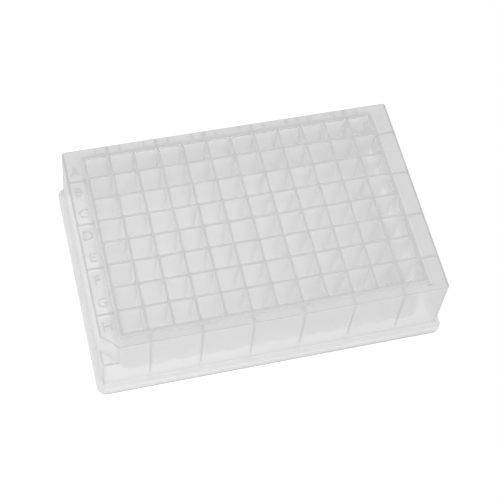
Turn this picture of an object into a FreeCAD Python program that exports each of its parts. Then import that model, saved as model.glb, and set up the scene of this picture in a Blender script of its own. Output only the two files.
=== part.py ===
import FreeCAD, Part
import math
import os

# Square-well deep well plate, moulded in one piece from natural polypropylene.
# Millimetres. The origin is the middle of the base, Z up. Columns 1 to 12 run
# along +X, and row A is the row at the +Y side.

# The lattice of wells
COLUMNS = 12
ROWS = 8
WELL_PITCH = 9.0
HEIGHT = 31.7  # from the base to the top of the well walls

# The wells
WELL_WALL = 0.9  # between two wells, at the top
RIM_WALL = 1.35  # round the outside of the block of wells
WELL_DRAFT = 0.4  # degrees on each wall of a well
WELL_CORNER_RADIUS = 0.5  # upright corners inside a well
WELL_FLOOR = 1.0  # thickness under a well
BASE_CLEARANCE = 3.2  # from the base up to the lowest point of a well
BOWL_RISE = 1.35  # how far a well's rounded bottom has risen where it meets the next one

# The outside of the block, below the deck
BLOCK_CORNER_RADIUS = 2.2  # of each well's outer upright corner
RIM_CORNER_RADIUS = 0.8  # of the block's corners above the deck

# The deck, the flat margin round the block
DECK_DROP = 1.0  # from the top of the walls down to the deck
DECK_THICKNESS = 1.2

# The skirt, the wall that hangs from the deck's edge
END_MARGIN = 9.88  # from the lattice to the footprint's edge, at each end
SIDE_MARGIN = 6.74  # the same along each side
SKIRT_WALL = 1.2
SKIRT_DRAFT = 0.9  # degrees, wider towards the base
SKIRT_CORNER_RADIUS = 1.2
SKIRT_INNER_RADIUS = 0.6
SKIRT_EDGE_RADIUS = 0.15  # the deck's outer edge

# The flange round the foot of the skirt
FLANGE_HEIGHT = 3.5
FLANGE_STEP = 2.0  # how far it stands out past the skirt
FLANGE_CORNER_RADIUS = 3.2
FLANGE_EDGE_RADIUS = 0.9  # the upper outer edge
FOOT_EDGE_RADIUS = 0.15  # the lower outer edge

# The notch that marks the corner by well H1
NOTCH_LEG = 5.7
NOTCH_DEPTH = 11.6  # from the deck down to its ledge

# The ribs between the block and the skirt, at every second wall between wells
RIB_THICKNESS = 1.0
RIB_DEPTH = 21.0  # below the deck's underside
FIN_THICKNESS = 0.8  # the low fin that carries each rib on down the skirt
FIN_DEPTH = 0.5

# How far one body runs into the next where they are moulded together
MERGE = 0.4

LATTICE_X = COLUMNS * WELL_PITCH / 2
LATTICE_Y = ROWS * WELL_PITCH / 2
BLOCK_X = LATTICE_X + RIM_WALL - WELL_WALL / 2
BLOCK_Y = LATTICE_Y + RIM_WALL - WELL_WALL / 2
FOOT_X = LATTICE_X + END_MARGIN
FOOT_Y = LATTICE_Y + SIDE_MARGIN
DECK_Z = HEIGHT - DECK_DROP
DECK_UNDER = DECK_Z - DECK_THICKNESS
FLANGE_ROOF = FLANGE_HEIGHT - SKIRT_WALL
NOTCH_Z = DECK_Z - NOTCH_DEPTH
RIB_FOOT = DECK_UNDER - RIB_DEPTH

# A well's bottom is part of a ball. Its radius follows from how far it rises
# over half a pitch, and the inside is the same ball less the floor.
BOWL_RADIUS = ((WELL_PITCH / 2) ** 2 + BOWL_RISE**2) / (2 * BOWL_RISE)
BOWL_Z = BASE_CLEARANCE + BOWL_RADIUS


def skirt_half(half_foot, z):
    """Half the skirt's outer length or width at a height."""
    return half_foot - FLANGE_STEP - (z - FLANGE_HEIGHT) * math.tan(math.radians(SKIRT_DRAFT))


def tapered_block(low_x, low_y, low_z, high_x, high_y, high_z, corner_radius):
    """A solid with a rectangle at each end, given by half sizes, and rounded upright corners."""
    ends = []
    for x, y, z in ((low_x, low_y, low_z), (high_x, high_y, high_z)):
        ends.append([FreeCAD.Vector(*p) for p in ((-x, -y, z), (x, -y, z), (x, y, z), (-x, y, z))])
    low, high = ends
    outlines = [low[::-1], high]
    outlines += [[low[i], low[(i + 1) % 4], high[(i + 1) % 4], high[i]] for i in range(4)]
    faces = [Part.Face(Part.makePolygon(points + points[:1])) for points in outlines]
    shell = Part.Shell(faces)
    shell.sewShape()
    solid = Part.Solid(shell)
    uprights = [e for e in solid.Edges if abs(e.Vertexes[0].Z - e.Vertexes[1].Z) > (high_z - low_z) / 2]
    return solid.makeFillet(corner_radius, uprights).Solids[0]


def upright_box(x0, x1, y0, y1, z0, z1):
    return Part.makeBox(x1 - x0, y1 - y0, z1 - z0, FreeCAD.Vector(x0, y0, z0))


def corner_cutter(corner_x, corner_y, leg, z):
    """Everything above z that lies outside a 45 degree line across the -X -Y corner."""
    reach = 2 * leg
    points = [
        FreeCAD.Vector(corner_x + leg + reach, corner_y - reach, z),
        FreeCAD.Vector(corner_x - reach, corner_y + leg + reach, z),
        FreeCAD.Vector(corner_x - reach, corner_y - reach, z),
    ]
    face = Part.Face(Part.makePolygon(points + points[:1]))
    return face.extrude(FreeCAD.Vector(0, 0, HEIGHT))


def skirt_body(inset, low_z, high_z, corner_radius):
    """The skirt's outer form moved in by inset."""
    return tapered_block(
        skirt_half(FOOT_X, low_z) - inset,
        skirt_half(FOOT_Y, low_z) - inset,
        low_z,
        skirt_half(FOOT_X, high_z) - inset,
        skirt_half(FOOT_Y, high_z) - inset,
        high_z,
        corner_radius,
    )


def flange_body(inset, high_z):
    """The flange's outer form moved in by inset, with plain edges."""
    x, y = FOOT_X - inset, FOOT_Y - inset
    return tapered_block(x, y, 0, x, y, high_z, FLANGE_CORNER_RADIUS - inset)


def edges_at(solid, z):
    return [e for e in solid.Edges if all(abs(v.Z - z) < 1e-6 for v in e.Vertexes)]


def make_skirt():
    """The skirt with its deck, flange and notch, hollow from below."""
    corner_x, corner_y = -skirt_half(FOOT_X, DECK_Z), -skirt_half(FOOT_Y, DECK_Z)
    outer = skirt_body(0, 0, DECK_Z, SKIRT_CORNER_RADIUS)
    outer = outer.cut(corner_cutter(corner_x, corner_y, NOTCH_LEG, NOTCH_Z)).Solids[0]
    outer = outer.makeFillet(SKIRT_EDGE_RADIUS, edges_at(outer, DECK_Z))
    flange = flange_body(0, FLANGE_HEIGHT)
    flange = flange.makeFillet(FLANGE_EDGE_RADIUS, edges_at(flange, FLANGE_HEIGHT))
    flange = flange.makeFillet(FOOT_EDGE_RADIUS, edges_at(flange, 0))

    # The hollow keeps the wall's thickness all round, behind the notch too.
    hollow = skirt_body(SKIRT_WALL, 0, DECK_UNDER, SKIRT_INNER_RADIUS)
    inner_leg = NOTCH_LEG + SKIRT_WALL * math.sqrt(2)
    hollow = hollow.cut(corner_cutter(corner_x, corner_y, inner_leg, NOTCH_Z - SKIRT_WALL))
    return outer.fuse(flange).cut([hollow, flange_body(SKIRT_WALL, FLANGE_ROOF)])


def well_centres():
    for column in range(COLUMNS):
        for row in range(ROWS):
            yield (
                (column + 0.5) * WELL_PITCH - LATTICE_X,
                LATTICE_Y - (row + 0.5) * WELL_PITCH,
            )


def bowl_ball(radius):
    """The ball that rounds a well's bottom. Its poles point along X, away from the bottom."""
    return Part.makeSphere(radius, FreeCAD.Vector(0, 0, BOWL_Z), FreeCAD.Vector(1, 0, 0))


def make_bowls():
    """The rounded undersides of all the wells, each reaching to its neighbours' or to the block's side."""
    ball = bowl_ball(BOWL_RADIUS)
    shapes = {}
    bowls = []
    half = WELL_PITCH / 2
    side = half + RIM_WALL - WELL_WALL / 2
    for x, y in well_centres():
        reach = (
            side if x < WELL_PITCH - LATTICE_X else half,
            side if x > LATTICE_X - WELL_PITCH else half,
            side if y < WELL_PITCH - LATTICE_Y else half,
            side if y > LATTICE_Y - WELL_PITCH else half,
        )
        if reach not in shapes:
            west, east, south, north = reach
            shapes[reach] = upright_box(-west, east, -south, north, 0, BOWL_Z).common(ball)
        bowl = shapes[reach].copy()
        bowl.translate(FreeCAD.Vector(x, y, 0))
        bowls.append(bowl)
    return bowls


def groove_cutter():
    """The hollow between two rounded outer corners, at the origin and open towards -Y."""
    # The corners' centres stand apart by what is left of the pitch between them.
    side = WELL_PITCH / 2 + RIM_WALL - WELL_WALL / 2
    half = BLOCK_CORNER_RADIUS - (side - WELL_PITCH / 2)
    cutter = upright_box(-half, half, -BLOCK_CORNER_RADIUS, BLOCK_CORNER_RADIUS, 0, DECK_UNDER)
    for x in (-half, half):
        centre = FreeCAD.Vector(x, BLOCK_CORNER_RADIUS, 0)
        cutter = cutter.cut(Part.makeCylinder(BLOCK_CORNER_RADIUS, DECK_UNDER, centre))
    # Only what lies outside the two corners stays, in front of where they meet.
    return max(cutter.Solids, key=lambda s: -s.CenterOfMass.y)


def make_grooves():
    """The upright grooves between wells round the block's four sides, below the deck."""
    cutter = groove_cutter()
    grooves = []
    for count, pitch_half, side, turns in (
        (COLUMNS, LATTICE_X, BLOCK_Y, (0, 180)),
        (ROWS, LATTICE_Y, BLOCK_X, (90, 270)),
    ):
        for turn in turns:
            for i in range(1, count):
                groove = cutter.copy()
                groove.translate(FreeCAD.Vector(i * WELL_PITCH - pitch_half, -side, 0))
                groove.rotate(FreeCAD.Vector(), FreeCAD.Vector(0, 0, 1), turn)
                grooves.append(groove)
    return grooves


def make_block():
    """The block of wells before they are hollowed."""
    lower = tapered_block(
        BLOCK_X, BLOCK_Y, BOWL_Z, BLOCK_X, BLOCK_Y, DECK_UNDER, BLOCK_CORNER_RADIUS
    )
    frame = tapered_block(
        BLOCK_X, BLOCK_Y, 0, BLOCK_X, BLOCK_Y, DECK_UNDER, BLOCK_CORNER_RADIUS
    )
    bowls = Part.Compound([bowl.common(frame) for bowl in make_bowls()])
    lower = lower.fuse(bowls.Solids).removeSplitter().cut(make_grooves())
    upper = tapered_block(
        BLOCK_X, BLOCK_Y, DECK_UNDER, BLOCK_X, BLOCK_Y, HEIGHT, RIM_CORNER_RADIUS
    )
    return lower.fuse(upper)


def make_ribs():
    """The ribs and the fins below them, each running into the block and the skirt."""
    ribs = []
    stations = (
        (COLUMNS, LATTICE_X, BLOCK_Y, FOOT_Y, (0, 180)),
        (ROWS, LATTICE_Y, BLOCK_X, FOOT_X, (90, 270)),
    )
    for count, pitch_half, side, foot, turns in stations:
        outer = skirt_half(foot, DECK_UNDER) - SKIRT_WALL + MERGE
        fin = skirt_half(foot, RIB_FOOT) - SKIRT_WALL - FIN_DEPTH
        fin_outer = skirt_half(foot, FLANGE_HEIGHT) - SKIRT_WALL + MERGE
        for turn in turns:
            for i in range(1, count, 2):
                x = i * WELL_PITCH - pitch_half
                rib = upright_box(
                    x - RIB_THICKNESS / 2,
                    x + RIB_THICKNESS / 2,
                    -outer,
                    BLOCK_CORNER_RADIUS - side,
                    RIB_FOOT,
                    DECK_UNDER + MERGE,
                )
                low_fin = upright_box(
                    x - FIN_THICKNESS / 2,
                    x + FIN_THICKNESS / 2,
                    -fin_outer,
                    -fin,
                    FLANGE_HEIGHT,
                    RIB_FOOT + MERGE,
                )
                for piece in (rib, low_fin):
                    piece.rotate(FreeCAD.Vector(), FreeCAD.Vector(0, 0, 1), turn)
                    ribs.append(piece)
    return ribs


def make_well():
    """The hollow of one well, at the origin."""
    mouth = (WELL_PITCH - WELL_WALL) / 2
    draft = math.tan(math.radians(WELL_DRAFT))
    foot = mouth - (HEIGHT - BASE_CLEARANCE) * draft
    hollow = tapered_block(
        foot, foot, BASE_CLEARANCE, mouth, mouth, HEIGHT, WELL_CORNER_RADIUS
    )
    below = bowl_ball(BOWL_RADIUS - WELL_FLOOR)
    above = upright_box(-mouth, mouth, -mouth, mouth, BOWL_Z, HEIGHT)
    return hollow.common(below.fuse(above))


def main():
    plate = make_skirt().fuse([make_block()] + make_ribs())
    well = make_well()
    wells = []
    for x, y in well_centres():
        hollow = well.copy()
        hollow.translate(FreeCAD.Vector(x, y, 0))
        wells.append(hollow)
    plate = plate.cut(wells).removeSplitter()
    os.makedirs("parts", exist_ok=True)
    Part.Solid(plate.Solids[0]).exportStep("parts/well_plate.step")
    box = plate.optimalBoundingBox(False, False)
    print(
        f"well_plate: {len(plate.Solids)} solid, valid {plate.isValid()}, {plate.Volume:.1f} mm3,"
        f" {box.XLength:.2f} x {box.YLength:.2f} x {box.ZLength:.2f} mm, {len(plate.Faces)} faces"
    )


main()
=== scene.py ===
import math

import bmesh
import bpy
from mathutils import Matrix, Quaternion, Vector


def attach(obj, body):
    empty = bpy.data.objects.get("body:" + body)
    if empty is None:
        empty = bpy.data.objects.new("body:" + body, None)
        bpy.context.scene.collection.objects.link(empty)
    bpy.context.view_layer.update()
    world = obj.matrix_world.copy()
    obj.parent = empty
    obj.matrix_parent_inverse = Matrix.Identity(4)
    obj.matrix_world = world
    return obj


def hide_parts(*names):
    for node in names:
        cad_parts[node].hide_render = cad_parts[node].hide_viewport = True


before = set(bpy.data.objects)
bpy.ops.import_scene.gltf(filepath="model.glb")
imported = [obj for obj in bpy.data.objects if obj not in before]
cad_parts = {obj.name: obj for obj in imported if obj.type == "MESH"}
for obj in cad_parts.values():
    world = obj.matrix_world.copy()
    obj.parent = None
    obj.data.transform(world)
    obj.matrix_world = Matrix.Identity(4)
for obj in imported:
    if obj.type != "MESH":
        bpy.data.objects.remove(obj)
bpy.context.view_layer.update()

# ---------------------------------------------------------------------------
# The skirt and the flange. The whole plate is one injection moulding in
# natural polypropylene. A thin skirt with draft hangs from the edge of its
# deck and widens into a stepped flange, and both are hollow from below.

MM = 0.001
HEIGHT = 31.7 * MM
DECK_Z, DECK_UNDER = 30.7 * MM, 29.5 * MM
FOOT = (63.88 * MM, 42.74 * MM)  # half the flange's length and width
FLANGE_HEIGHT, FLANGE_STEP = 3.5 * MM, 2.0 * MM
FLANGE_CORNER, FLANGE_ROUND = 3.2 * MM, 0.9 * MM
SKIRT_WALL = 1.2 * MM
SKIRT_CORNER, SKIRT_INNER_CORNER = 1.2 * MM, 0.6 * MM
SKIRT_DRAFT = math.tan(math.radians(0.9))
EDGE = 0.15 * MM  # the break on an outer edge
OPEN_Z = -1 * MM  # the hollows start under the foot, so that they open


def rounded_outline(half_x, half_y, radius, steps, side_points=0):
    """Points anticlockwise round a rectangle with round corners, with more along its sides."""
    arcs = []
    for sign_x, sign_y, start in ((1, 1, 0), (-1, 1, 90), (-1, -1, 180), (1, -1, 270)):
        centre = Vector((sign_x * (half_x - radius), sign_y * (half_y - radius)))
        turns = [math.radians(start + 90 * step / steps) for step in range(steps + 1)]
        arcs.append([centre + radius * Vector((math.cos(turn), math.sin(turn))) for turn in turns])
    outline = []
    shares = [(number + 1) / (side_points + 1) for number in range(side_points)]
    for arc, following in zip(arcs, arcs[1:] + arcs[:1]):
        outline += arc + [arc[-1].lerp(following[0], share) for share in shares]
    return outline


def stacked(name, rings):
    """A closed object through rings of points, lowest first, with a cap at each end."""
    count = len(rings[0])
    points = [point for ring in rings for point in ring]
    faces = [list(range(count))[::-1], list(range(len(points) - count, len(points)))]
    for low in range(0, len(points) - count, count):
        for i in range(count):
            j = (i + 1) % count
            faces.append([low + i, low + j, low + count + j, low + count + i])
    mesh = bpy.data.meshes.new(name)
    mesh.from_pydata(points, [], faces)
    form = bpy.data.objects.new(name, mesh)
    bpy.context.scene.collection.objects.link(form)
    return form


def flat_ring(inset, radius, steps, z, half=FOOT):
    """A level ring, so far inside a rectangle of this half size."""
    outline = rounded_outline(half[0] - inset, half[1] - inset, radius, steps)
    return [(point.x, point.y, z) for point in outline]


def skirt_inset(z):
    """How far the outside of the skirt lies inside the flange's edge at a height."""
    return FLANGE_STEP + (z - FLANGE_HEIGHT) * SKIRT_DRAFT


def skirt_ring(inset, radius, z):
    """A level ring, so far inside the skirt's outside."""
    return flat_ring(skirt_inset(z) + inset, radius, steps=6, z=z)


flange_edge = [(EDGE, 0), (0, EDGE)]
for turn in (0, 22.5, 45, 67.5, 90):
    across, up = math.cos(math.radians(turn)), math.sin(math.radians(turn))
    flange_edge.append((FLANGE_ROUND * (1 - across), FLANGE_HEIGHT - FLANGE_ROUND * (1 - up)))

forms = {
    "Skirt": stacked("skirt_form", [
        skirt_ring(0, SKIRT_CORNER, 0),
        skirt_ring(0, SKIRT_CORNER, DECK_Z - EDGE),
        skirt_ring(EDGE, SKIRT_CORNER - EDGE, DECK_Z),
    ]),
    "Flange": stacked("flange_form", [
        flat_ring(inset, FLANGE_CORNER - inset, steps=10, z=z) for inset, z in flange_edge
    ]),
    "Skirt hollow": stacked("skirt_hollow", [
        skirt_ring(SKIRT_WALL, SKIRT_INNER_CORNER, z) for z in (OPEN_Z, DECK_UNDER)
    ]),
    "Flange hollow": stacked("flange_hollow", [
        flat_ring(SKIRT_WALL, FLANGE_CORNER - SKIRT_WALL, steps=8, z=z)
        for z in (OPEN_Z, FLANGE_HEIGHT - SKIRT_WALL)
    ]),
}

# ---------------------------------------------------------------------------
# The notch by well H1, which shows which way round the plate lies. The mould
# cuts the corner off at 45 degrees down to a ledge, and a wall as thick as
# the skirt closes the cut behind.

NOTCH_LEG, NOTCH_Z = 5.7 * MM, 19.1 * MM
NOTCH_CORNER = [skirt_inset(DECK_Z) - half for half in FOOT]  # the corner that is cut off


def notch_prism(name, leg, low):
    """A prism over all that lies outside a 45 degree line across the corner."""
    x, y = NOTCH_CORNER
    far = 2 * leg
    outline = ((x + leg + far, y - far), (x - far, y + leg + far), (x - far, y - far))
    return stacked(name, [[(*point, z) for point in outline] for z in (low, low + HEIGHT)])


forms["Notch"] = notch_prism("notch_form", NOTCH_LEG, NOTCH_Z)
forms["Notch wall"] = notch_prism(
    "notch_wall", NOTCH_LEG + SKIRT_WALL * math.sqrt(2), NOTCH_Z - SKIRT_WALL
)

# ---------------------------------------------------------------------------
# The block of wells, 12 by 8. Its sides have an upright groove between each
# well and the next. It stands through the deck, as a plain rim 1 mm high.

COLUMNS, ROWS = 12, 8
PITCH = 9.0 * MM
BLOCK = (54.9 * MM, 36.9 * MM)  # half the block's length and width
BLOCK_CORNER, RIM_CORNER = 2.2 * MM, 0.8 * MM
BLOCK_TOP = DECK_UNDER + 0.2 * MM  # the block ends within the deck, and the rim starts there
GROOVE, GROOVE_STEPS = 1.3 * MM, 4  # half a groove's width, and the points across it


def grooved_outline():
    """The block's outline below the deck, which dips between each well and the next."""
    outline = []
    for side in range(4):
        half, away = BLOCK[side % 2], BLOCK[1 - side % 2]
        count = (COLUMNS, ROWS)[side % 2]
        edge = [(BLOCK_CORNER - half, -away)]
        for wall in range(1, count):
            for step in range(-GROOVE_STEPS, GROOVE_STEPS + 1):
                off = GROOVE * (1 - abs(step) / GROOVE_STEPS)
                dip = BLOCK_CORNER - math.sqrt(BLOCK_CORNER**2 - off**2)
                along = (wall - count / 2) * PITCH + GROOVE * step / GROOVE_STEPS
                edge.append((along, dip - away))
        for turn in (90, 67.5, 45, 22.5):
            across, up = math.cos(math.radians(turn)), math.sin(math.radians(turn))
            edge.append((half - BLOCK_CORNER * (1 - across), BLOCK_CORNER * (1 - up) - away))
        outline += [Matrix.Rotation(math.radians(90 * side), 2) @ Vector(point) for point in edge]
    return outline


forms["Block"] = stacked("block_form", [
    [(point.x, point.y, z) for point in grooved_outline()] for z in (0, BLOCK_TOP)
])
forms["Rim"] = stacked("rim_form", [
    flat_ring(0, RIM_CORNER, steps=4, z=z, half=BLOCK) for z in (DECK_UNDER, HEIGHT)
])

# ---------------------------------------------------------------------------
# The hollow of one well. It is square with round corners, narrows a little
# on the way down, as the mould's core does, and ends in part of a ball.

WELL_WALL, WELL_FLOOR = 0.9 * MM, 1.0 * MM
WELL_MOUTH, WELL_CORNER = (PITCH - WELL_WALL) / 2, 0.5 * MM
WELL_DRAFT = math.tan(math.radians(0.4))
BOWL_RADIUS, BOWL_Z = 8.175 * MM, 11.375 * MM  # the ball outside the well's floor
FLOOR_RINGS = (0.12, 0.35, 0.58, 0.8)  # from the middle of the floor outwards


def square_outline(half, radius):
    return rounded_outline(half, half, radius, steps=2, side_points=3)


def well_hollow():
    """The hollow from the middle of its floor up to past its mouth."""
    ball = BOWL_RADIUS - WELL_FLOOR
    foot = []
    for corner in square_outline(1, 0.12):
        half, z = WELL_MOUTH, BOWL_Z
        for _ in range(4):  # nearer each time to where the side meets the ball
            half = WELL_MOUTH - (HEIGHT - z) * WELL_DRAFT
            z = BOWL_Z - math.sqrt(ball**2 - (corner * half).length_squared)
        foot.append((corner.x * half, corner.y * half, z))
    rings = []
    for share in FLOOR_RINGS:
        flat = [Vector((x, y)) * share for x, y, _ in foot]
        rings.append([
            (point.x, point.y, BOWL_Z - math.sqrt(ball**2 - point.length_squared)) for point in flat
        ])
    mouth = square_outline(WELL_MOUTH, WELL_CORNER)
    rings += [foot, [(point.x, point.y, HEIGHT + 1 * MM) for point in mouth]]
    return stacked("well_form", rings)


forms["Well"] = well_hollow()

# ---------------------------------------------------------------------------
# The moulding's shell, the hollow deck and skirt. Geometry Nodes joins the
# forms, and repeats at the pitch what the next sections add: the rounded
# undersides, the ribs and the wells.

# The sizes of the ribs and fins, which the moulding takes as inputs with the rest.
RIB_WIDTH, RIB_FOOT = 1.0 * MM, 8.5 * MM
FIN_WIDTH, FIN_DEPTH = 0.8 * MM, 0.5 * MM


def node(tree, kind, inputs=None, **settings):
    """Adds a node. A socket takes a value, another node, another's socket, or a list of them."""
    new = tree.nodes.new(kind)
    for name, value in settings.items():
        setattr(new, name, value)
    for socket, value in (inputs or {}).items():
        for one in value if isinstance(value, list) else [value]:
            if isinstance(one, bpy.types.Node):
                one = one.outputs[0]
            if isinstance(one, bpy.types.NodeSocket):
                tree.links.new(one, new.inputs[socket])
            else:
                new.inputs[socket].default_value = one
    return new


def calc(tree, operation, *values):
    """One sum in a tree."""
    return node(tree, "ShaderNodeMath", dict(enumerate(values)), operation=operation)


moulding = bpy.data.node_groups.new("Moulding", "GeometryNodeTree")
moulding.interface.new_socket("Geometry", in_out="OUTPUT", socket_type="NodeSocketGeometry")
modifier_inputs = {}
for name, kind, value in [
    ("Columns", "Int", COLUMNS), ("Rows", "Int", ROWS), ("Pitch", "Float", PITCH),
    ("Bowl radius", "Float", BOWL_RADIUS), ("Bowl height", "Float", BOWL_Z),
    ("Rib width", "Float", RIB_WIDTH), ("Rib foot", "Float", RIB_FOOT),
    ("Fin width", "Float", FIN_WIDTH), ("Fin depth", "Float", FIN_DEPTH),
    ("Material", "Material", None),
] + [(name, "Object", form) for name, form in forms.items()]:
    socket = moulding.interface.new_socket(name, in_out="INPUT", socket_type="NodeSocket" + kind)
    modifier_inputs[socket.identifier] = value
size = node(moulding, "NodeGroupInput").outputs


def shape(kind, inputs=None, **settings):
    """A node of the moulding that makes or changes a shape."""
    return node(moulding, "GeometryNode" + kind, inputs, **settings)


def measure(operation, *values):
    """A measure of the moulding, worked out from others."""
    return calc(moulding, operation, *values)


def vector(x, y, z):
    return node(moulding, "ShaderNodeCombineXYZ", {"X": x, "Y": y, "Z": z})


def form(name):
    return shape("ObjectInfo", {"Object": size[name]}).outputs["Geometry"]


def joined(operation, *solids):
    return shape("MeshBoolean", {"Mesh 2": list(solids)}, operation=operation, solver="MANIFOLD")


def less(solid, *tools):
    """What is left of a solid when the tools are cut from it."""
    inputs = {"Mesh 1": solid, "Mesh 2": list(tools)}
    return shape("MeshBoolean", inputs, operation="DIFFERENCE", solver="MANIFOLD")


shell = less(joined("UNION", form("Skirt"), form("Flange")), form("Notch"))
shell = less(shell, less(form("Skirt hollow"), form("Notch wall")), form("Flange hollow"))

# ---------------------------------------------------------------------------
# The rounded undersides of the wells, moulded with the block. They are one
# sheet with part of a ball under each well, drawn up into a solid that trims
# the block's foot.

FACETS = 8  # the sheet's squares across one well
SPREAD = 1 * MM  # the sheet's edge goes this far past the block's side
AT_EDGE = 0.9999  # of the way to the sheet's edge, so that rounding leaves no point out

sheet = shape("MeshGrid", {
    "Size X": measure("MULTIPLY", size["Columns"], size["Pitch"]),
    "Size Y": measure("MULTIPLY", size["Rows"], size["Pitch"]),
    "Vertices X": measure("MULTIPLY_ADD", size["Columns"], FACETS, 1),
    "Vertices Y": measure("MULTIPLY_ADD", size["Rows"], FACETS, 1),
})
point = node(moulding, "ShaderNodeSeparateXYZ", {0: shape("InputPosition")}).outputs
spread, squares = [], []
for along, count in ((point[0], size["Columns"]), (point[1], size["Rows"])):
    middle = measure("MULTIPLY", count, 0.5)
    cell = measure("FLOOR", measure("ADD", measure("DIVIDE", along, size["Pitch"]), middle))
    cell = measure("MINIMUM", measure("MAXIMUM", cell, 0), measure("SUBTRACT", count, 1))
    centre = measure("SUBTRACT", measure("ADD", cell, 0.5), middle)
    centre = measure("MULTIPLY", centre, size["Pitch"])
    edge = measure("MULTIPLY", measure("MULTIPLY", middle, size["Pitch"]), AT_EDGE)
    on_edge = measure("GREATER_THAN", measure("ABSOLUTE", along), edge)
    out = measure("MULTIPLY", on_edge, measure("SIGN", along))
    out = measure("MULTIPLY_ADD", out, SPREAD, along)
    off = measure("SUBTRACT", out, centre)
    spread.append(out)
    squares.append(measure("MULTIPLY", off, off))
drop = measure("MULTIPLY", size["Bowl radius"], size["Bowl radius"])
drop = measure("SQRT", measure("SUBTRACT", drop, measure("ADD", *squares)))
sheet = shape("SetPosition", {
    "Geometry": sheet,
    "Position": vector(*spread, measure("SUBTRACT", size["Bowl height"], drop)),
})
drawn_up = shape("ExtrudeMesh", {
    "Mesh": sheet, "Offset": vector(0, 0, 1), "Offset Scale": HEIGHT, "Individual": False,
})
undersides = shape("JoinGeometry", {"Geometry": [shape("FlipFaces", {"Mesh": sheet}), drawn_up]})
undersides = shape("MergeByDistance", {"Geometry": undersides, "Distance": 1e-6})
block = joined("INTERSECT", form("Block"), undersides)

# ---------------------------------------------------------------------------
# The ribs and the fins, part of the moulding. Under every second wall a thin
# rib runs from the block to the skirt, and from its foot a low fin goes on
# down the inside of the skirt.

OVERLAP = 0.4 * MM  # how far they go into the walls that they stand on

bars = []
for axis, count in ((0, size["Columns"]), (1, size["Rows"])):
    def turned(along, across, up):
        return vector(*((along, across) if axis == 0 else (across, along)), up)

    reach = FOOT[1 - axis] - skirt_inset(DECK_UNDER) - SKIRT_WALL + OVERLAP
    low_reach = FOOT[1 - axis] - skirt_inset(RIB_FOOT) - SKIRT_WALL
    number = measure("MULTIPLY", count, 0.5)
    start = measure("MULTIPLY", measure("SUBTRACT", 1, number), size["Pitch"])
    line = shape("MeshLine", {
        "Count": number,
        "Start Location": turned(start, 0, 0),
        "Offset": turned(measure("MULTIPLY", size["Pitch"], 2), 0, 0),
    })
    tall = measure("SUBTRACT", DECK_UNDER + OVERLAP, size["Rib foot"])
    rib = shape("Transform", {
        "Geometry": shape("MeshCube", {"Size": turned(size["Rib width"], 2 * reach, tall)}),
        "Translation": vector(0, 0, measure("MULTIPLY_ADD", tall, 0.5, size["Rib foot"])),
    })
    deep = measure("ADD", size["Fin depth"], OVERLAP)
    fin_tall = measure("SUBTRACT", measure("ADD", size["Rib foot"], OVERLAP), FLANGE_HEIGHT)
    fin = shape("MeshCube", {"Size": turned(size["Fin width"], deep, fin_tall)})
    fin_middle = measure("SUBTRACT", low_reach + OVERLAP, measure("MULTIPLY", deep, 0.5))
    fin_pair = [
        shape("Transform", {
            "Geometry": fin,
            "Translation": turned(
                0,
                measure("MULTIPLY", fin_middle, side),
                measure("MULTIPLY_ADD", fin_tall, 0.5, FLANGE_HEIGHT),
            ),
        })
        for side in (-1, 1)
    ]
    for bar in [rib] + fin_pair:
        repeated = shape("InstanceOnPoints", {"Points": line, "Instance": bar})
        bars.append(shape("RealizeInstances", {"Geometry": repeated}))

# ---------------------------------------------------------------------------
# The whole moulding. The shell, the block, the rim and the ribs are joined,
# and the wells are sunk into them last, as the mould's core pins do.

SMOOTH_BELOW = math.radians(28)  # faces that meet at less are shaded as one surface

well_places = shape("MeshGrid", {
    "Size X": measure("MULTIPLY", measure("SUBTRACT", size["Columns"], 1), size["Pitch"]),
    "Size Y": measure("MULTIPLY", measure("SUBTRACT", size["Rows"], 1), size["Pitch"]),
    "Vertices X": size["Columns"],
    "Vertices Y": size["Rows"],
})
hollows = shape("InstanceOnPoints", {"Points": well_places, "Instance": form("Well")})
hollows = shape("RealizeInstances", {"Geometry": hollows})
solid = less(joined("UNION", shell, block, form("Rim"), *bars), hollows)
angle = shape("InputMeshEdgeAngle").outputs["Unsigned Angle"]
sharp = node(
    moulding, "FunctionNodeCompare", {0: angle, 1: SMOOTH_BELOW}, operation="GREATER_THAN"
)
solid = shape("SetShadeSmooth", {"Geometry": solid, "Shade Smooth": True})
solid = shape(
    "StoreNamedAttribute", {"Geometry": solid, "Name": "sharp_edge", "Value": sharp},
    data_type="BOOLEAN", domain="EDGE",
)
solid = shape("RealizeInstances", {"Geometry": solid})
solid = shape("SetMaterial", {"Geometry": solid, "Material": size["Material"]})
node(moulding, "NodeGroupOutput", {0: solid})

# ---------------------------------------------------------------------------
# The polypropylene, left in its natural, hazy white. Each face lets part of
# the light through. Where a wall is seen edge on, as on wall tops, ribs and
# the foot, it stops more of the light, and its whiteness is painted darker:
# painted shade for the light that the plastic's depth holds back.

HAIR, THROUGH = 0.05 * MM, 0.1 * MM  # a place reaches this far past the faces that it holds

plastic = bpy.data.materials.new("natural_polypropylene")
plastic.use_nodes = True
shader = plastic.node_tree.nodes["Principled BSDF"]
where = node(plastic.node_tree, "ShaderNodeTexCoord").outputs["Object"]
x, y, z = node(plastic.node_tree, "ShaderNodeSeparateXYZ", {0: where}).outputs


def work_out(operation, *values):
    """A sum in the plastic's nodes."""
    return calc(plastic.node_tree, operation, *values)


def above(value, limit):
    return work_out("GREATER_THAN", value, limit)


def below(value, limit):
    return work_out("LESS_THAN", value, limit)


def both(*places):
    """Where all of the places are."""
    whole = places[0]
    for place in places[1:]:
        whole = work_out("MULTIPLY", whole, place)
    return whole


def either(*places):
    """Where any of the places is."""
    whole = places[0]
    for place in places[1:]:
        whole = work_out("MAXIMUM", whole, place)
    return whole


def between(low, high):
    """The heights from one to the other."""
    return both(above(z, low), below(z, high))


def each_added(values, more):
    return [work_out("ADD", value, more) for value in values]


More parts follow.
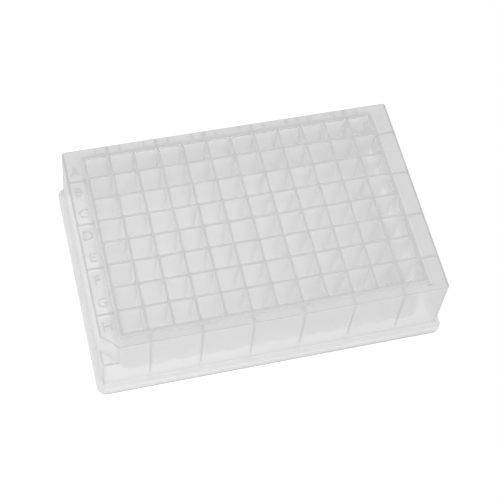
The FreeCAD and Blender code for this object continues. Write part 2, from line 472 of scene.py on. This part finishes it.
def beyond(half, by=0.0, out=None):
    """Outside a rectangle of this half size, made larger all round by so much."""
    along, across = out or (out_x, out_y)
    return either(above(along, half[0] + by), above(across, half[1] + by))


def within(half, by=0.0):
    """Inside a rectangle of this half size, made larger all round by so much."""
    return both(below(out_x, half[0] + by), below(out_y, half[1] + by))


out_x, out_y = (work_out("ABSOLUTE", value) for value in (x, y))
# Distance from the middle of the nearest wall between wells, and from the nearest line of ribs.
wall_x, wall_y = (work_out("PINGPONG", value, PITCH / 2) for value in (x, y))
rib_x, rib_y = (
    work_out("SUBTRACT", PITCH, work_out("PINGPONG", value, PITCH)) for value in (x, y)
)


def on_ribs(half_width):
    """Near the lines of ribs, outside the block."""
    return either(
        both(below(rib_x, half_width), above(out_y, BLOCK[1] + THROUGH)),
        both(below(rib_y, half_width), above(out_x, BLOCK[0] + THROUGH)),
    )


# The place within one well, from its middle. It runs on past the block's sides.
in_well = []
for value, count in ((x, COLUMNS), (y, ROWS)):
    end = count * PITCH / 2 - 0.01 * MM
    held = work_out("MINIMUM", work_out("MAXIMUM", value, -end), end)
    place = work_out("ADD", work_out("WRAP", held, PITCH, 0), work_out("SUBTRACT", value, held))
    in_well.append(work_out("SUBTRACT", place, PITCH / 2))
from_ball = [work_out("MULTIPLY", v, v) for v in (work_out("SUBTRACT", z, BOWL_Z), *in_well)]
from_ball = work_out("SQRT", work_out("ADD", from_ball[0], work_out("ADD", *from_ball[1:])))
# How far the wells' sides have drawn in, and the distance from the well's middle with that added.
drawn_in = work_out("MULTIPLY", work_out("SUBTRACT", HEIGHT, z), WELL_DRAFT)
to_side = each_added([work_out("ABSOLUTE", value) for value in in_well], drawn_in)

# The block: wall tops, wells, sides and undersides.
WELLS_TO, WALL_MIDDLE = -1.1 * MM, -0.7 * MM  # from the block's outside
OUTER_MOUTHS = [count * PITCH / 2 - WELL_WALL / 2 for count in (COLUMNS, ROWS)]
OUTER_WALL, LONG_OUTER_WALL, OUTER_CORNER = -0.15 * MM, -0.25 * MM, -0.65 * MM
UPPER_SIDE, GROOVE_TOP, GROOVE_LINE = 18 * MM, 15 * MM, 0.6 * MM
BALL_TOP, SIDE_ARC, OUTER_BALLS = 12 * MM, 7.5 * MM, (50 * MM, 32 * MM)
CORNER_TOP, CORNER_FROM = 17.5 * MM, (53 * MM, 35 * MM)

# Wall tops and the rim's top are painted darker: painted shade where the walls are seen edge on.
wall_top = above(z, HEIGHT - HAIR)
under_top = below(z, HEIGHT - HAIR)
rim_top = both(wall_top, beyond(BLOCK, -WELL_WALL / 2))
# The rim's outer side is painted lighter than the deck: painted light that lifts the shade on it.
rim_side = both(above(z, DECK_Z - HAIR), beyond(BLOCK, -HAIR), within(BLOCK, THROUGH))
wells = both(within(BLOCK, WELLS_TO), under_top)
side_walls = both(wells, above(to_side[0], WELL_MOUTH - HAIR))
# The wells' upright corners are painted a little darker: painted shade in the corner, less at the
# ends and along the long outer walls.
corners = both(wells, *(above(value, WELL_MOUTH - WELL_CORNER) for value in to_side))
end_corners = both(corners, above(out_x, OUTER_MOUTHS[0] + OUTER_CORNER))
long_corners = both(corners, above(out_y, OUTER_MOUTHS[1] + OUTER_CORNER))
outer_walls = each_added((out_x, out_y), drawn_in)
outer_walls = both(wells, beyond(OUTER_MOUTHS, OUTER_WALL, outer_walls))
long_outer_walls = both(outer_walls, above(out_y, OUTER_MOUTHS[1] + LONG_OUTER_WALL))
outer_walls_by_rim = both(outer_walls, above(z, DECK_Z - THROUGH))
block_side = both(beyond(BLOCK, WALL_MIDDLE), within(BLOCK, THROUGH), under_top)
upper_side = both(block_side, above(z, UPPER_SIDE))
# The grooves on the block's sides are painted darker: painted shade in the grooves.
grooves_painted_shade = both(
    block_side, below(z, GROOVE_TOP), below(work_out("MINIMUM", wall_x, wall_y), GROOVE_LINE)
)
# The block's round outer corners, low down, are painted darker: painted shade.
block_corners = both(
    block_side, below(z, CORNER_TOP), above(out_x, CORNER_FROM[0]), above(out_y, CORNER_FROM[1])
)
balls = both(
    within(BLOCK, WALL_MIDDLE), below(z, BALL_TOP), above(from_ball, BOWL_RADIUS - WELL_FLOOR / 2)
)
# The outer wells' undersides are painted darker: painted shade against the floor's glow.
outer_balls_painted_shade = both(balls, beyond(OUTER_BALLS))
# Arcs on the block's sides, where the bowls turn under, are painted darker: painted shade lines.
side_arcs_painted_shade = both(block_side, below(z, BALL_TOP), above(from_ball, SIDE_ARC))

# The deck, outside the block, with the ribs and the wells' walls that show through it.
SKIRT_TOP = [half - skirt_inset(DECK_Z) for half in FOOT]
DECK_EDGE, END_DECK_EDGE, DECK_EDGE_UNDER = -0.41 * MM, -0.7 * MM, 0.4 * MM
BESIDE_RIM = 0.7 * MM
WALL_LINE, WALL_LINES_TO = 0.3 * MM, (50 * MM, 40.3 * MM)
MARK_BOTTOM, MARK_TOP = (DECK_Z - THROUGH, DECK_Z - 0.02 * MM), DECK_Z + 0.02 * MM
MARKS_TO = (60 * MM, 39.9 * MM)
GATE, GATE_HALF = (54.7 * MM, -37.8 * MM), (1.2 * MM, 0.28 * MM)  # by well H12

outside = beyond(BLOCK, THROUGH)
deck_top = both(outside, above(z, DECK_Z - THROUGH))
# The deck strip beside the rim is denser, with its own whiteness: painted light that evens out the
# rim's shadow on it.
beside_rim_painted_light = both(deck_top, below(out_x, BLOCK[0] + BESIDE_RIM), below(out_y, BLOCK[1]))
wall_lines = both(
    deck_top, below(wall_x, WALL_LINE), above(out_y, BLOCK[1]),
    below(out_x, WALL_LINES_TO[0]), below(out_y, WALL_LINES_TO[1]),
)
# The deck's outer edges are painted darker, darker still at the ends: painted shade where the deck
# is seen edge on.
deck_edge = both(above(z, DECK_Z - DECK_EDGE_UNDER), above(out_y, SKIRT_TOP[1] + DECK_EDGE))
end_deck_edge_painted_shade = both(above(z, DECK_Z - DECK_EDGE_UNDER), above(out_x, SKIRT_TOP[0] + END_DECK_EDGE))
# The raised marks' tops and upper sides are painted darker so that they show: painted shade.
marks = both(outside, above(z, MARK_TOP))
mark_bottoms = both(
    outside, between(*MARK_BOTTOM), below(out_x, MARKS_TO[0]), below(out_y, MARKS_TO[1])
)
gate = []
for value, middle, half in zip((x, y), GATE, GATE_HALF):
    share = work_out("DIVIDE", work_out("SUBTRACT", value, middle), half)
    gate.append(work_out("POWER", work_out("ABSOLUTE", share), 2))
gate = both(deck_top, below(work_out("ADD", *gate), 1))

# The skirt and the flange, with the ribs and the fins behind them.
SKIRT_MIDDLE = FLANGE_STEP + SKIRT_WALL / 2
RIB_LINE, FIN_LINE, RIB_BODY = 0.42 * MM, 0.35 * MM, 0.6 * MM  # half widths
SKIRT_SHADE = 4 * MM, 16 * MM  # heights between which the skirt's painted shade, darker at its foot, grows lighter
SKIRT_END, FLANGE_END, FOOT_END = 60 * MM, 61.5 * MM, 62.8 * MM
FOOT_LINE, FOOT_LINE_INSET = 0.5 * MM, -0.53 * MM
# The heights of the painted highlight at the step.
STEP = 2.9 * MM, 4.7 * MM
SKIRT_CORNER_LINE, FLANGE_CORNER_LINE = 0.45 * MM, -2.72 * MM

half_skirt = work_out("SUBTRACT", z, FLANGE_HEIGHT)
half_skirt = work_out("MULTIPLY_ADD", half_skirt, SKIRT_DRAFT, SKIRT_MIDDLE)
to_skirt = each_added((out_x, out_y), half_skirt)
on_skirt = both(beyond(FOOT, 0, to_skirt), below(z, DECK_Z - THROUGH))
# The skirt is painted darker towards its foot: painted shade.
shaded = work_out("MINIMUM", work_out("MAXIMUM", z, SKIRT_SHADE[0]), SKIRT_SHADE[1])
# The skirt's ends are painted darker than its long sides: painted shade.
skirt_ends_painted_shade = both(on_skirt, above(out_x, SKIRT_END))
skirt_inside = both(outside, between(FLANGE_HEIGHT - THROUGH, DECK_UNDER + THROUGH))
# The deck's edge, and the ribs and fins behind the skirt, are painted darker: painted shade where
# they are seen edge on.
deck_line = both(on_skirt, above(z, DECK_UNDER + THROUGH))
ribs = both(either(deck_top, both(on_skirt, above(z, RIB_FOOT))), on_ribs(RIB_LINE))
deck_ribs = both(ribs, deck_top)
rib_bodies = both(
    outside, between(FLANGE_HEIGHT + THROUGH, DECK_UNDER - THROUGH),
    work_out("SUBTRACT", 1, on_skirt), on_ribs(RIB_BODY),
)
fins = both(on_skirt, between(FLANGE_HEIGHT + THROUGH, RIB_FOOT), on_ribs(FIN_LINE))
flange = both(outside, below(z, FLANGE_HEIGHT + HAIR))
# The flange's ends are painted lighter than its long sides: painted light.
flange_ends_painted_light = both(flange, above(out_x, FLANGE_END))
flange_corners = both(
    flange, above(work_out("ADD", out_x, out_y), sum(FOOT) + FLANGE_CORNER_LINE)
)
# A lighter line along the skirt's step onto the flange: a painted highlight.
step = both(between(*STEP), beyond(FOOT, -SKIRT_MIDDLE))
# The foot's outer edge is painted dark, as painted shade where it is seen edge on; at the ends it
# is painted lighter, a painted light.
foot_line = both(below(z, FOOT_LINE), beyond(FOOT, FOOT_LINE_INSET))
foot_line_ends_painted_light = both(foot_line, above(out_x, FOOT_END))

# The notch: its wall, its ledge and their edges. The edges and lines are painted darker, as painted
# shade where they are seen edge on.
LEDGE_LINE = NOTCH_Z - 0.35 * MM, NOTCH_Z + 0.25 * MM
LEDGE_SEAM = NOTCH_Z - 0.2 * MM, NOTCH_Z + 0.6 * MM
LEDGE_SEAM_OFF, LEDGE_SEAM_TO = 0.6 * MM, (61.2 * MM, 40.1 * MM)
NOTCH_EDGE, NOTCH_WALL_LINE, LEDGE_LINE_PAST = 0.7 * MM, 0.4 * MM, -0.3 * MM

notch_plane = sum(NOTCH_CORNER) + NOTCH_LEG
past_notch = work_out("SUBTRACT", work_out("ADD", x, y), notch_plane)
off_notch = work_out("ABSOLUTE", past_notch)
notch_edge = both(above(z, DECK_UNDER + THROUGH), below(off_notch, NOTCH_EDGE))
notch_wall = both(
    between(NOTCH_Z + THROUGH, DECK_UNDER + THROUGH), below(off_notch, NOTCH_WALL_LINE)
)
ledge = both(between(NOTCH_Z - THROUGH, NOTCH_Z + THROUGH), below(past_notch, 0))
ledge_line = both(between(*LEDGE_LINE), below(past_notch, LEDGE_LINE_PAST), on_skirt)
ledge_seam = both(
    between(*LEDGE_SEAM), below(off_notch, LEDGE_SEAM_OFF),
    below(out_x, LEDGE_SEAM_TO[0]), below(out_y, LEDGE_SEAM_TO[1]),
)
# The skirt's round upright corners, away from the notch, are painted darker: painted shade where
# the skirt is seen edge on.
skirt_corners = both(
    on_skirt, above(z, FLANGE_HEIGHT + THROUGH),
    above(work_out("ADD", *to_skirt), sum(FOOT) + SKIRT_CORNER_LINE),
    either(below(z, NOTCH_Z), above(past_notch, 0)),
)

# Each place, how white it is, and how much of the light it stops. Where two overlap, the later
# one holds.
whiteness, alpha = 1.0, 0.5
for place, place_whiteness, place_alpha in (
    (skirt_inside, 1.0, 0.42),
    (rib_bodies, 0.95, 0.25),
    (on_skirt, work_out("MULTIPLY_ADD", shaded, 1.5, 0.705), 0.72),
    (skirt_ends_painted_shade, 0.675, 0.72),
    (flange, 0.77, 0.6),
    (flange_ends_painted_light, 0.95, 0.68),
    (step, 0.95, 0.6),
    (flange_corners, 0.8, 0.7),
    (notch_wall, 0.72, 0.74),
    (deck_top, 0.895, 0.68),
    (beside_rim_painted_light, 0.88, 0.78),
    (wells, 1.0, 0.47),
    (side_walls, 1.0, 0.51),
    (outer_walls, 1.0, 0.5),
    (long_outer_walls, 1.0, 0.92),
    (outer_walls_by_rim, 1.0, 0.3),
    (corners, 0.91, 0.54),
    (end_corners, 0.93, 0.52),
    (long_corners, 0.98, 0.92),
    (block_side, 1.0, 0.42),
    (upper_side, 1.0, 0.3),
    (grooves_painted_shade, 0.8, 0.6),
    (balls, 1.0, 0.42),
    (outer_balls_painted_shade, 0.85, 0.55),
    (side_arcs_painted_shade, 0.7, 0.72),
    (deck_line, 0.75, 0.7),
    (wall_lines, 0.85, 0.72),
    (ribs, 0.58, 0.88),
    (deck_ribs, 0.7, 0.88),
    (fins, 0.7, 0.8),
    (foot_line, 0.42, 0.88),
    (foot_line_ends_painted_light, 0.8, 0.7),
    (skirt_corners, 0.56, 0.84),
    (block_corners, 0.7, 0.6),
    (ledge, 0.93, 0.62),
    (ledge_seam, 0.87, 0.66),
    (ledge_line, 0.66, 0.75),
    (deck_edge, 0.78, 0.65),
    (end_deck_edge_painted_shade, 0.64, 0.75),
    (notch_edge, 0.7, 0.7),
    (marks, 0.8, 0.74),
    (mark_bottoms, 1.0, 0.0),
    (wall_top, 0.72, 0.74),
    (rim_top, 0.82, 0.7),
    (rim_side, 0.95, 0.4),
    (gate, 0.6, 0.7),
):
    change = work_out("SUBTRACT", place_whiteness, whiteness)
    whiteness = work_out("MULTIPLY_ADD", place, change, whiteness)
    alpha = work_out("MULTIPLY_ADD", place, work_out("SUBTRACT", place_alpha, alpha), alpha)

# A slow, cloudy grain in the whiteness and the gloss, and a finer one that the light catches.
PER_MM = 1 / MM
grain = {"Vector": where, "Scale": 1.3 * PER_MM, "Detail": 2.0}
grain = node(plastic.node_tree, "ShaderNodeTexNoise", grain).outputs["Fac"]
fine_grain = {"Vector": where, "Scale": 3.0 * PER_MM, "Detail": 3.0}
fine_grain = node(plastic.node_tree, "ShaderNodeTexNoise", fine_grain).outputs["Fac"]
whiteness = work_out("MULTIPLY", whiteness, work_out("MULTIPLY_ADD", grain, 0.05, 0.975))
colour = {"Red": whiteness, "Green": whiteness, "Blue": whiteness}
bump = {"Strength": 0.2, "Distance": 0.05 * MM, "Height": fine_grain}
for socket, source in (
    ("Base Color", node(plastic.node_tree, "ShaderNodeCombineColor", colour)),
    ("Alpha", alpha),
    ("Roughness", work_out("MULTIPLY_ADD", grain, 0.25, 0.28)),
    ("Normal", node(plastic.node_tree, "ShaderNodeBump", bump)),
):
    plastic.node_tree.links.new(source.outputs[0], shader.inputs[socket])
shader.inputs["Specular IOR Level"].default_value = 0.3

# ---------------------------------------------------------------------------
# The plate itself, as it leaves the mould: the moulding in its plastic, made
# one plain closed mesh.

plate = bpy.data.objects.new("plate", bpy.data.meshes.new("plate"))
bpy.context.scene.collection.objects.link(plate)
modifier = plate.modifiers.new("Moulding", "NODES")
modifier.node_group = moulding
for identifier, value in modifier_inputs.items():
    modifier[identifier] = plastic if value is None else value
moulded = plate.evaluated_get(bpy.context.evaluated_depsgraph_get())
mesh = bpy.data.meshes.new_from_object(moulded)
plate.modifiers.clear()
plate.data = mesh
for spent in forms.values():
    bpy.data.objects.remove(spent)
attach(plate, "root")
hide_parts("well_plate")

# ---------------------------------------------------------------------------
# The row letters A to H. Thin raised letters in the same polypropylene,
# moulded on the deck beside column 1.

LETTER_HEIGHT, LETTERS_X = 3.6 * MM, -58.1 * MM
MARK_RELIEF, MARK_ROOT = 0.15 * MM, 0.05 * MM  # above the deck, and into it


def raised_marks(name, marks, cap_height):
    """One piece of upright raised characters on the deck, from (text, x, y of its middle)."""
    joined_up = bmesh.new()
    for text, middle_x, middle_y in marks:
        curve = bpy.data.curves.new(name, "FONT")
        curve.body = text
        curve.extrude = 0.5  # one thick, and scaled with the letter below
        curve.resolution_u = 4
        carrier = bpy.data.objects.new(name, curve)
        bpy.context.scene.collection.objects.link(carrier)
        carried = carrier.evaluated_get(bpy.context.evaluated_depsgraph_get())
        glyph = bpy.data.meshes.new_from_object(carried)
        bpy.data.objects.remove(carrier)
        low, high = (
            Vector(pick(v.co[i] for v in glyph.vertices) for i in range(3)) for pick in (min, max)
        )
        scale = cap_height / (high.y - low.y)
        thick = MARK_RELIEF + MARK_ROOT
        glyph.transform(
            Matrix.Translation((middle_x, middle_y, DECK_Z - MARK_ROOT + thick / 2))
            @ Matrix.Diagonal((scale, scale, thick, 1))
            @ Matrix.Translation(-(low + high) / 2)
        )
        joined_up.from_mesh(glyph)
    bmesh.ops.remove_doubles(joined_up, verts=joined_up.verts, dist=1e-7)
    bmesh.ops.recalc_face_normals(joined_up, faces=joined_up.faces)
    mesh = bpy.data.meshes.new(name)
    joined_up.to_mesh(mesh)
    joined_up.free()
    mesh.materials.append(plastic)
    piece = bpy.data.objects.new(name, mesh)
    bpy.context.scene.collection.objects.link(piece)
    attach(piece, "root")


raised_marks("row_letters", [
    (letter, LETTERS_X, ((ROWS - 1) / 2 - row) * PITCH) for row, letter in enumerate("ABCDEFGH")
], LETTER_HEIGHT)

# ---------------------------------------------------------------------------
# The column numbers 1 to 12. Smaller raised figures in the same
# polypropylene, moulded on the narrow deck behind row A.

NUMBER_HEIGHT, NUMBERS_Y = 1.9 * MM, 38.65 * MM

raised_marks("column_numbers", [
    (str(column + 1), (column - (COLUMNS - 1) / 2) * PITCH, NUMBERS_Y) for column in range(COLUMNS)
], NUMBER_HEIGHT)

# ---------------------------------------------------------------------------
# The floor. A plain white sheet of plastic, lit from within like a light
# table, a little more towards the column 1 end.

FLOOR_HALF, FLOOR_Z = 3, -0.2 * MM
GLOW_MIDDLE, GLOW_SLOPE = 1.1, -1.4  # under the plate's middle, and per metre
GLOW_LEAST, GLOW_MOST = 1.0, 1.19

floor_mesh = bpy.data.meshes.new("floor")
floor_mesh.from_pydata([
    (FLOOR_HALF * sign_x, FLOOR_HALF * sign_y, FLOOR_Z)
    for sign_x, sign_y in ((-1, -1), (1, -1), (1, 1), (-1, 1))
], [], [(0, 1, 2, 3)])
floor = bpy.data.objects.new("floor", floor_mesh)
bpy.context.scene.collection.objects.link(floor)
white = bpy.data.materials.new("white_floor")
white.use_nodes = True
white.node_tree.nodes.clear()
along = node(white.node_tree, "ShaderNodeTexCoord").outputs["Object"]
along = node(white.node_tree, "ShaderNodeSeparateXYZ", {0: along}).outputs["X"]
glow = calc(white.node_tree, "MULTIPLY_ADD", along, GLOW_SLOPE, GLOW_MIDDLE)
glow = calc(white.node_tree, "MAXIMUM", glow, GLOW_LEAST)
glow = calc(white.node_tree, "MINIMUM", glow, GLOW_MOST)
glow = node(white.node_tree, "ShaderNodeEmission", {"Color": (1, 1, 1, 1), "Strength": glow})
node(white.node_tree, "ShaderNodeOutputMaterial", {"Surface": glow})
floor_mesh.materials.append(white)
white.cycles.emission_sampling = "NONE"

# ---------------------------------------------------------------------------
# The light. A white studio all round, dimmer as a light than it looks, a
# little brighter from the column 12 end, with a soft lobe from high in front.

LIGHT, SIDE_SHARE = 0.735, 0.12
LOBE_FROM, LOBE_POWER, LOBE = (0.12, -0.694, 0.71), 4, 0.32

world = bpy.data.worlds.new("studio")
bpy.context.scene.world = world
world.use_nodes = True
facing = node(world.node_tree, "ShaderNodeTexCoord").outputs["Generated"]
side = node(world.node_tree, "ShaderNodeSeparateXYZ", {0: facing}).outputs["X"]
light = calc(world.node_tree, "MULTIPLY_ADD", side, SIDE_SHARE * LIGHT, LIGHT)
lobe = node(
    world.node_tree, "ShaderNodeVectorMath", {0: facing, 1: LOBE_FROM}, operation="DOT_PRODUCT"
).outputs["Value"]
lobe = calc(world.node_tree, "POWER", calc(world.node_tree, "MAXIMUM", lobe, 0), LOBE_POWER)
light = calc(world.node_tree, "MULTIPLY_ADD", lobe, LOBE, light)
seen = node(world.node_tree, "ShaderNodeLightPath").outputs["Is Camera Ray"]
strength = calc(world.node_tree, "MAXIMUM", seen, light)
background = world.node_tree.nodes["Background"]
background.inputs["Color"].default_value = (1, 1, 1, 1)
world.node_tree.links.new(strength.outputs[0], background.inputs["Strength"])
world.cycles.sampling_method = "NONE"

# ---------------------------------------------------------------------------
# The camera. It looks down on the plate from the corner by well H1, turned a
# little about its own line of sight.

TURN, TILT, ROLL = (math.radians(angle) for angle in (21.9067, 59.876, 9.4))
AIM, DISTANCE = Vector((-0.7008, -4.1037, 15.9252)) * MM, 475.66 * MM
LENS = 94.218
BOUNCES, FACES_DEEP = 24, 64  # how often light may turn, and how many faces it may pass

camera = bpy.data.objects.new("camera", bpy.data.cameras.new("camera"))
bpy.context.scene.collection.objects.link(camera)
level = math.cos(TILT)
look = Vector((math.sin(TURN) * level, math.cos(TURN) * level, -math.sin(TILT)))
camera.location = AIM - DISTANCE * look
camera.rotation_euler = (look.to_track_quat("-Z", "Y") @ Quaternion((0, 0, 1), ROLL)).to_euler()
camera.data.lens = LENS
camera.data.clip_start = 10 * MM
scene = bpy.context.scene
scene.camera = camera
scene.view_settings.view_transform = "Standard"
scene.cycles.max_bounces = scene.cycles.diffuse_bounces = BOUNCES
scene.cycles.transparent_max_bounces = FACES_DEEP
